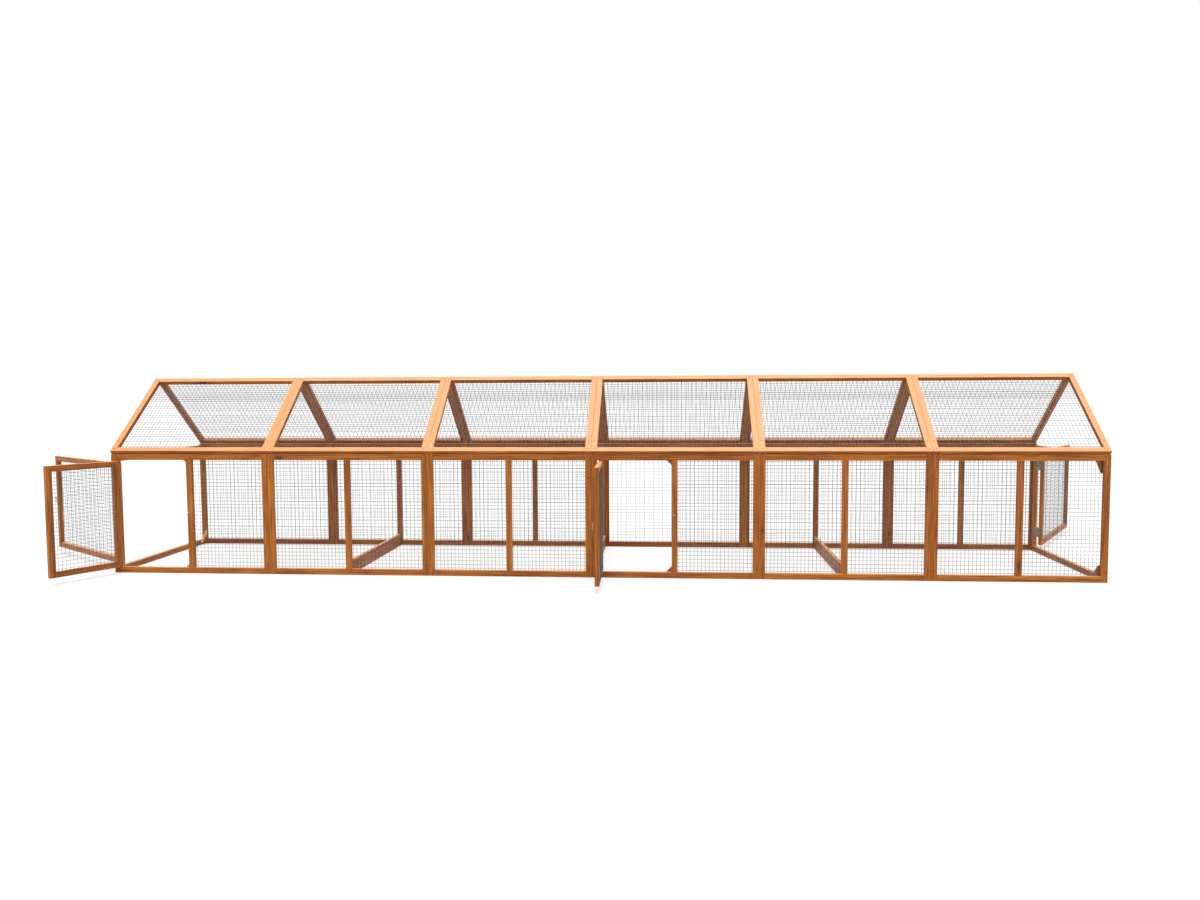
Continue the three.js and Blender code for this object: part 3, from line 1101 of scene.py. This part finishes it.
HOOK_SCREW_RADIUS = 0.0015
HOOK_SCREW_HEAD = 0.0042
HOOK_SCREW_PLAY = 0.0006  # between the hook's ring and the head in front of it
EYE_RING = 0.0046
EYE_WIRE = 0.0011
EYE_DROP = HOOK_TIP / 2
EYE_SINK = 0.0005
RING_STEPS = 20
BLOCK_THICKNESS = 0.015
BLOCK_OVERLAP = 0.014
SCREW_SIDES = 16
COUNTERSUNK_PROFILE = ((1.0, -0.0004), (1.0, 0.0001), (0.93, 0.0003), (0.5, 0.00035))
DOMED_PROFILE = ((1.0, 0.0), (0.97, 0.0007), (0.80, 0.0015), (0.5, 0.0020))
RECESS_DEPTH = 0.0006
RECESS_LONG, RECESS_SHORT = 0.42, 0.10  # of the cross recess, as shares of the head
STAPLE_HALF_WIDTH = 0.005
STAPLE_SINK = 0.001
STAPLE_STAND = 0.0022
STAPLE_RADIUS = 0.0005
STAPLE_INSET = 0.021  # from the outer edge of a frame
STAPLE_EDGE = 0.002  # from the edge of a door's sheet
POST_SCREW_HEIGHTS = (0.050, 0.505, 0.565)
ROOF_SCREW_INSET = 0.018
ROOF_SCREW_SECOND = 0.075  # up the slope from a roof frame's lower edge
X_AXIS, Y_AXIS, Z_AXIS = Vector((1, 0, 0)), Vector((0, 1, 0)), Vector((0, 0, 1))


def hinge_half(side, door_half, height):
    """One leaf of a butt hinge about its pin: leaf, knuckles and, on the frame half, the pin."""
    bm = bmesh.new()
    outward = 1.0 if door_half else -1.0
    outer = outward * (HINGE_GAP / 2 - LEAF_CLEARANCE)
    inner = outer - outward * LEAF_THICKNESS
    low_x, high_x = sorted((outer, inner))
    far_y = side * (HINGE_PROUD + LEAF_DEPTH)
    near_y = side * (BARREL_RADIUS + KNUCKLE_GAP)
    low_y, high_y = sorted((far_y, near_y))
    chamfered_plate(bm, (low_x, low_y, -height / 2), (high_x, high_y, height / 2), LEAF_CHAMFER)
    step = height / KNUCKLE_COUNT
    for i in range(KNUCKLE_COUNT):
        if (i % 2 == 1) != door_half:
            continue
        low_z = -height / 2 + i * step + KNUCKLE_GAP / 2
        high_z = low_z + step - KNUCKLE_GAP
        round_bar(bm, [Vector((0, 0, low_z)), Vector((0, 0, high_z))], BARREL_RADIUS, sides=20)
        tab_low, tab_high = sorted((0.0, side * (BARREL_RADIUS + TAB_OVERLAP)))
        chamfered_plate(bm, (low_x, tab_low, low_z), (high_x, tab_high, high_z), TAB_CHAMFER)
    if not door_half:
        reach = height / 2 + PIN_OVERHANG
        for end in (-1, 1):
            top = [Vector((0, 0, end * height / 2)), Vector((0, 0, end * reach))]
            round_bar(bm, top, PIN_HEAD_RADIUS, sides=16)
    return mesh_from(bm)


def level_ring(bm, radii, z):
    """A ring of vertices about Z, one for each radius."""
    ring = []
    for k, radius in enumerate(radii):
        angle = math.tau * k / len(radii)
        ring.append(bm.verts.new((radius * math.cos(angle), radius * math.sin(angle), z)))
    return ring


def screw_head(radius, profile=COUNTERSUNK_PROFILE):
    """A small head facing +Z, with a cross recess and its rim at the origin.

    The profile gives shares of the radius with their heights, from the rim inwards.
    """
    bm = bmesh.new()
    rings = [level_ring(bm, [share * radius] * SCREW_SIDES, z) for share, z in profile]
    recess = []
    for k in range(SCREW_SIDES):
        recess.append((RECESS_LONG if k % 4 == 0 else RECESS_SHORT) * radius)
    slots = level_ring(bm, recess, profile[-1][1] - RECESS_DEPTH)
    rings.append(slots)
    for first, second in zip(rings, rings[1:]):
        skin(bm, first, second)
    bm.faces.new(slots)
    bm.faces.new(list(reversed(rings[0])))
    return mesh_from(bm)


def staple_crown():
    """The crown of a wire staple, 10 mm across, driven in over the mesh, standing along +Z."""
    bm = bmesh.new()
    half, low, high = STAPLE_HALF_WIDTH, -STAPLE_SINK, STAPLE_STAND
    corners = ((-half, low), (-half, high), (half, high), (half, low))
    round_bar(bm, [Vector((x, 0, z)) for x, z in corners], STAPLE_RADIUS, sides=6)
    return mesh_from(bm)


def facing(x, y, z, normal):
    """A place whose local +Z points along the normal."""
    turn = Vector(normal).to_track_quat("Z", "Y").to_matrix().to_4x4()
    return Matrix.Translation((x, y, z)) @ turn


class RUN_OT_add_hinges(bpy.types.Operator):
    """Two butt hinges on each door, each with its own knuckles, pin and screws"""

    bl_idname = "rabbit_run.add_hinges"
    bl_label = "Hinges"

    def execute(self, context):
        zinc = zinc_plate()
        for name in DOOR_NAMES:
            door = door_facts(name)
            for level in ("lower", "upper"):
                node = f"{name}_hinge_{level}"
                low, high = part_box(node)
                height = high.z - low.z - 2 * PIN_OVERHANG
                up = Matrix.Translation((0, 0, (low.z + high.z) / 2))
                mesh = self.screwed_leaf(door["side"], False, height)
                mesh.transform(door["shut"] @ up)
                finish_piece(f"{node}_frame_leaf", mesh, zinc, "run", (node,))
                mesh = self.screwed_leaf(door["side"], True, height)
                mesh.transform(door["open"] @ up)
                finish_piece(f"{node}_door_leaf", mesh, zinc, name)
        return {"FINISHED"}

    def screwed_leaf(self, side, door_half, height):
        """One leaf about its pin, with three screw heads up its face."""
        leaf = hinge_half(side, door_half, height)
        facing_x = -1.0 if door_half else 1.0
        face_x = -facing_x * (HINGE_GAP / 2 - LEAF_CLEARANCE - LEAF_THICKNESS)
        mid_y = side * (HINGE_PROUD + LEAF_DEPTH / 2)
        spots = []
        for step in (-1, 0, 1):
            z = step * height * HINGE_SCREW_SPREAD
            spots.append(facing(face_x, mid_y, z, (facing_x, 0, 0)))
        heads = scattered(screw_head(HINGE_SCREW_RADIUS), spots, zinc_plate())
        return joined([leaf, heads])


class RUN_OT_add_latches(bpy.types.Operator):
    """A hook with its screw on each door, and the screw eye that it drops into"""

    bl_idname = "rabbit_run.add_latches"
    bl_label = "Latches"

    def execute(self, context):
        for name in DOOR_NAMES:
            door = door_facts(name)
            side = door["side"]
            wire_y = side * (HINGE_PROUD - HOOK_STAND_OFF)
            pivot = Vector((HINGE_GAP / 2 + door["width"] - HOOK_EDGE_INSET, wire_y, LATCH_Z))
            node = f"{name}_hook"
            hook = self.hook_mesh(pivot)
            hook.transform(door["open"])
            finish_piece(f"{node}_wire", hook, bright_brass(), node, (node,))
            screw = self.hook_screw_mesh(pivot, side)
            screw.transform(door["open"])
            finish_piece(f"{node}_screw", screw, zinc_plate(), name)
            eye = self.eye_mesh(pivot, side)
            eye.transform(door["shut"])
            finish_piece(f"{name}_eye_wire", eye, bright_zinc(), "run", (f"{name}_eye",))
        return {"FINISHED"}

    def hook_mesh(self, pivot):
        """A ring round the screw, and an arm that hangs from it and turns back at its tip."""
        bm = bmesh.new()
        ring = arc(pivot, HOOK_RING, 0, math.tau, X_AXIS, Z_AXIS, steps=RING_STEPS)[:-1]
        round_bar(bm, ring, HOOK_WIRE, closed=True)
        corner = pivot + Vector((-HOOK_BEND, 0, HOOK_BEND - HOOK_REACH))
        arm = [pivot - Z_AXIS * (HOOK_RING + HOOK_WIRE * 0.4)]
        arm += arc(corner, HOOK_BEND, 0, -QUARTER_TURN, X_AXIS, Z_AXIS, steps=6)
        arm.append(pivot + Vector((-HOOK_TIP, 0, -HOOK_REACH)))
        round_bar(bm, arm, HOOK_WIRE)
        return mesh_from(bm)

    def hook_screw_mesh(self, pivot, side):
        """The domed screw that the hook's ring turns on."""
        bm = bmesh.new()
        face_y = side * HINGE_PROUD
        front_y = pivot.y - side * (HOOK_WIRE + HOOK_SCREW_PLAY)
        shank = [Vector((pivot.x, face_y, LATCH_Z)), Vector((pivot.x, front_y, LATCH_Z))]
        round_bar(bm, shank, HOOK_SCREW_RADIUS)
        head = screw_head(HOOK_SCREW_HEAD, DOMED_PROFILE)
        head.transform(facing(pivot.x, front_y, LATCH_Z, (0, -side, 0)))
        return joined([mesh_from(bm), head])

    def eye_mesh(self, pivot, side):
        """The screw eye beside the doorway: a level ring on a shank."""
        bm = bmesh.new()
        centre = Vector((pivot.x + HOOK_REACH, pivot.y, LATCH_Z - EYE_DROP))
        ring = arc(centre, EYE_RING, 0, math.tau, X_AXIS, Y_AXIS, steps=RING_STEPS)[:-1]
        round_bar(bm, ring, EYE_WIRE, closed=True)
        shank_end = centre + Y_AXIS * side * (HOOK_STAND_OFF + EYE_SINK)
        shank = [centre + Y_AXIS * side * EYE_RING, shank_end]
        round_bar(bm, shank, EYE_WIRE)
        return mesh_from(bm)


class RUN_OT_add_blocks(bpy.types.Operator):
    """Triangular corner blocks behind the latch side of each doorway, which stop the door"""

    bl_idname = "rabbit_run.add_blocks"
    bl_label = "Corner blocks"

    def execute(self, context):
        timber = stained_timber()
        settings = context.scene.run_hardware
        for seed, name in enumerate(DOOR_NAMES, start=BLOCK_SEED):
            door = door_facts(name)
            side = door["side"]
            in_front = at_front(name)
            leg = BLOCK_OVERLAP + (settings.block_leg if in_front else settings.end_block_leg)
            depth = HINGE_PROUD + WALL_THICKNESS + 2 * NET_GAP
            back_y = side * depth + (BLOCK_THICKNESS if side > 0 else 0.0)
            corner_x = HINGE_GAP / 2 + door["width"] + LATCH_GAP
            corner_x += BLOCK_OVERLAP if in_front else -NET_DEPTH
            stack = StickStack(seed)
            bottom = STICK_WIDTH - BLOCK_OVERLAP
            frame_height = WALL_HEIGHT if in_front else END_FRAME_HEIGHT
            top = frame_height - STICK_WIDTH + BLOCK_OVERLAP
            low_outline = ((0.0, 0.0), (0.0, leg), (-leg, 0.0))
            high_outline = ((0.0, 0.0), (-leg, 0.0), (0.0, -leg))
            for outline, z in ((low_outline, bottom), (high_outline, top)):
                place = door["shut"] @ standing(corner_x, back_y, z)
                stack.add_prism(outline, BLOCK_THICKNESS, place)
            finish_piece(f"{name}_corner_blocks", stack.mesh(), timber, "run")
        return {"FINISHED"}


class RUN_OT_add_fixings(bpy.types.Operator):
    """Screws through the frames and staples over the wire sheets"""

    bl_idname = "rabbit_run.add_fixings"
    bl_label = "Screws and staples"

    def execute(self, context):
        zinc = zinc_plate()
        radius = context.scene.run_hardware.screw_radius
        mesh = scattered(screw_head(radius), self.screw_places(), dark_screw())
        finish_piece("frame_screws", mesh, dark_screw(), "run")
        mesh = scattered(staple_crown(), self.staple_places(context), zinc)
        finish_piece("wire_staples", mesh, zinc, "run")
        for name in DOOR_NAMES:
            door = door_facts(name)
            inset = max(STAPLE_INSET, door_lap_inset(name) + STAPLE_EDGE)
            mesh = scattered(staple_crown(), self.door_staples(context, door, inset), zinc)
            mesh.transform(door["open"])
            finish_piece(f"{name}_staples", mesh, zinc, name)
        return {"FINISHED"}

    def screw_places(self):
        """Pairs of screws beside each joint of two bays, on the walls and on the roof."""
        places = []
        for joint in range(BAY_COUNT + 1):
            x = -RUN_HALF_LENGTH + joint * BAY_LENGTH
            posts = []
            if joint > 0:
                posts.append(x - STICK_WIDTH / 2)
            if joint < BAY_COUNT:
                posts.append(x + STICK_WIDTH / 2)
            for post in posts:
                for z in POST_SCREW_HEIGHTS:
                    places.append(facing(post, -WALL_OUTER_Y, z, (0, -1, 0)))
                    places.append(facing(post, WALL_OUTER_Y, z, (0, 1, 0)))
        for side in ("front", "back"):
            for node in bay_nodes(side, "roof"):
                place, width, slope = roof_place(node)
                for x in (STICK_WIDTH / 2, width - STICK_WIDTH / 2):
                    for y in (ROOF_SCREW_INSET, ROOF_SCREW_SECOND, slope - ROOF_SCREW_INSET):
                        top = Matrix.Translation((x, y, ROOF_THICKNESS))
                        places.append(place @ top)
        return places

    def staple_places(self, context):
        """Staples round every wire sheet of the walls and the roof, on the sticks' inner faces."""
        spacing = context.scene.run_mesh.staple_spacing
        places = []
        for side, sign in (("front", 1), ("back", -1)):
            for node in bay_nodes(side, "wall"):
                low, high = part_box(node)
                y = high.y if side == "front" else low.y
                count = int((high.x - low.x - 2 * STICK_WIDTH) / spacing)
                for i in range(count + 1):
                    x = low.x + STICK_WIDTH + i * spacing
                    for z in (low.z + STAPLE_INSET, high.z - STAPLE_INSET):
                        places.append(facing(x, y + sign * NET_GAP, z, (0, sign, 0)))
        for side in ("front", "back"):
            for node in bay_nodes(side, "roof"):
                place, width, slope = roof_place(node)
                count = int((slope - 2 * STICK_WIDTH) / spacing)
                for i in range(count + 1):
                    y = STICK_WIDTH + i * spacing
                    for x in (STAPLE_INSET, width - STAPLE_INSET):
                        under = Matrix.Translation((x, y, -NET_GAP))
                        places.append(place @ under @ Matrix.Rotation(HALF_TURN, 4, "X"))
        return places

    def door_staples(self, context, door, inset):
        """Staples round a door's sheet, on the inner face of the shut door."""
        spacing = context.scene.run_mesh.staple_spacing
        places = []
        y = door["side"] * (HINGE_PROUD + DOOR_THICKNESS + NET_GAP)
        normal = (0, door["side"], 0)
        left = HINGE_GAP / 2
        for i in range(int((door["width"] - 2 * STICK_WIDTH) / spacing) + 1):
            x = left + STICK_WIDTH + i * spacing
            for z in (door["bottom"] + inset, door["bottom"] + door["height"] - inset):
                places.append(facing(x, y, z, normal))
        for i in range(int((door["height"] - 2 * STICK_WIDTH) / spacing) + 1):
            z = door["bottom"] + STICK_WIDTH + i * spacing
            for x in (left + inset, left + door["width"] - inset):
                upright = Matrix.Rotation(QUARTER_TURN, 4, "Z")
                places.append(facing(x, y, z, normal) @ upright)
        return places


# ---------- Stage, in metres and radians ----------
FLOOR_HALF_SIZE = 60.0
FLOOR_DROP = 0.001
SUN_SPREAD = math.radians(45.0)
OVERHEAD_TILT = (math.radians(4.0), math.radians(3.0))
FRONT_TILT = (math.radians(48.0), math.radians(-8.0))
CAMERA_PLACE = Vector((0.398, -5.114, 0.964))
CAMERA_YAW = -0.0756
CAMERA_DOWN = 0.0678
CAMERA_ROLL = -0.0049
CAMERA_LENS_MM = 27.9
CAMERA_SENSOR_MM = 36.0


class RUN_OT_add_stage(bpy.types.Operator):
    """A pale floor, soft light from above and the camera"""

    bl_idname = "rabbit_run.add_stage"
    bl_label = "Floor, light and camera"

    def execute(self, context):
        self.add_floor(context)
        self.add_lights(context)
        self.add_camera(context)
        context.scene.view_settings.view_transform = "Standard"
        return {"FINISHED"}

    def add_floor(self, context):
        bm = bmesh.new()
        bmesh.ops.create_grid(bm, x_segments=2, y_segments=2, size=FLOOR_HALF_SIZE)
        mesh = bpy.data.meshes.new("floor")
        bm.to_mesh(mesh)
        bm.free()
        mesh.transform(Matrix.Translation((0, 0, -FLOOR_DROP)))
        floor = bpy.data.objects.new("floor", mesh)
        context.scene.collection.objects.link(floor)
        material, tree = new_material("pale_floor")
        tree.nodes.clear()
        output = add_node(tree, "ShaderNodeOutputMaterial")
        dull = add_node(tree, "ShaderNodeBsdfDiffuse")
        dull.inputs["Color"].default_value = (*context.scene.run_stage.floor_colour, 1.0)
        glow = add_node(tree, "ShaderNodeEmission")
        seen = self.seen_directly(tree, context.scene.run_stage.floor_glow)
        connect(tree, seen, glow.inputs["Strength"])
        both = add_node(tree, "ShaderNodeAddShader")
        connect(tree, dull.outputs[0], both.inputs[0])
        connect(tree, glow.outputs[0], both.inputs[1])
        connect(tree, both.outputs[0], output.inputs["Surface"])
        mesh.materials.append(material)

    def seen_directly(self, tree, strength):
        """The strength for camera, glossy and transmission rays, and 0 for the rest."""
        rays = add_node(tree, "ShaderNodeLightPath").outputs
        seen = math_node(tree, "MAXIMUM", rays["Is Camera Ray"], rays["Is Glossy Ray"])
        seen = math_node(tree, "MAXIMUM", seen, rays["Is Transmission Ray"])
        return math_node(tree, "MULTIPLY", seen, strength)

    def add_lights(self, context):
        settings = context.scene.run_stage
        world = bpy.data.worlds.new("studio")
        context.scene.world = world
        world.use_nodes = True
        tree = world.node_tree
        background = tree.nodes["Background"]
        background.inputs["Color"].default_value = (1.0, 1.0, 1.0, 1.0)
        seen = self.seen_directly(tree, 1.0 - settings.sky_strength)
        level = math_node(tree, "ADD", seen, settings.sky_strength)
        connect(tree, level, background.inputs["Strength"])
        self.add_sun("overhead", settings.overhead_power, OVERHEAD_TILT)
        self.add_sun("from_the_front", settings.front_power, FRONT_TILT)

    def add_sun(self, name, power, tilt):
        """A broad sun, tilted from straight down towards the front and towards the right."""
        lamp = bpy.data.lights.new(name, "SUN")
        lamp.energy = power
        lamp.angle = SUN_SPREAD
        sun = bpy.data.objects.new(name, lamp)
        sun.rotation_euler = (*tilt, 0.0)
        bpy.context.scene.collection.objects.link(sun)

    def add_camera(self, context):
        forward = Vector(
            (
                math.sin(CAMERA_YAW) * math.cos(CAMERA_DOWN),
                math.cos(CAMERA_YAW) * math.cos(CAMERA_DOWN),
                -math.sin(CAMERA_DOWN),
            )
        )
        level_right = Vector((math.cos(CAMERA_YAW), -math.sin(CAMERA_YAW), 0.0))
        level_up = level_right.cross(forward)
        right = level_right * math.cos(CAMERA_ROLL) + level_up * math.sin(CAMERA_ROLL)
        up = level_up * math.cos(CAMERA_ROLL) - level_right * math.sin(CAMERA_ROLL)
        turn = Matrix((right, up, -forward)).transposed().to_4x4()
        data = bpy.data.cameras.new("camera")
        data.sensor_fit = "HORIZONTAL"
        data.sensor_width = CAMERA_SENSOR_MM
        data.lens = CAMERA_LENS_MM
        camera = bpy.data.objects.new("camera", data)
        camera.matrix_world = Matrix.Translation(CAMERA_PLACE) @ turn
        context.scene.collection.objects.link(camera)
        context.scene.camera = camera


class RUN_PT_panel(bpy.types.Panel):
    """Lists the pieces of the run and their settings"""

    bl_idname = "RUN_PT_panel"
    bl_label = "Outdoor rabbit run"
    bl_space_type = "VIEW_3D"
    bl_region_type = "UI"
    bl_category = "Rabbit run"

    def draw(self, context):
        layout = self.layout
        for title, group in SETTINGS:
            settings = getattr(context.scene, group)
            layout.label(text=title)
            for key in settings.__annotations__:
                layout.prop(settings, key)
        for operator in OPERATORS:
            layout.operator(operator.bl_idname)


OPERATORS = (
    RUN_OT_add_timber,
    RUN_OT_add_doors,
    RUN_OT_add_wire,
    RUN_OT_add_hinges,
    RUN_OT_add_latches,
    RUN_OT_add_blocks,
    RUN_OT_add_fixings,
    RUN_OT_add_stage,
)
SETTINGS = (
    ("Timber", "run_timber"),
    ("Wire mesh", "run_mesh"),
    ("Hardware", "run_hardware"),
    ("Stage", "run_stage"),
)
SETTING_CLASSES = (RunTimberSettings, RunMeshSettings, RunHardwareSettings, RunStageSettings)


def register():
    for cls in (*SETTING_CLASSES, *OPERATORS, RUN_PT_panel):
        bpy.utils.register_class(cls)
    for (_, group), cls in zip(SETTINGS, SETTING_CLASSES):
        setattr(bpy.types.Scene, group, bpy.props.PointerProperty(type=cls))


def unregister():
    for _, group in SETTINGS:
        delattr(bpy.types.Scene, group)
    for cls in reversed((*SETTING_CLASSES, *OPERATORS, RUN_PT_panel)):
        bpy.utils.unregister_class(cls)


def main():
    register()
    bpy.ops.rabbit_run.add_timber()
    bpy.ops.rabbit_run.add_doors()
    bpy.ops.rabbit_run.add_wire()
    bpy.ops.rabbit_run.add_hinges()
    bpy.ops.rabbit_run.add_latches()
    bpy.ops.rabbit_run.add_blocks()
    bpy.ops.rabbit_run.add_fixings()
    bpy.ops.rabbit_run.add_stage()


if __name__ == "__main__":
    main()
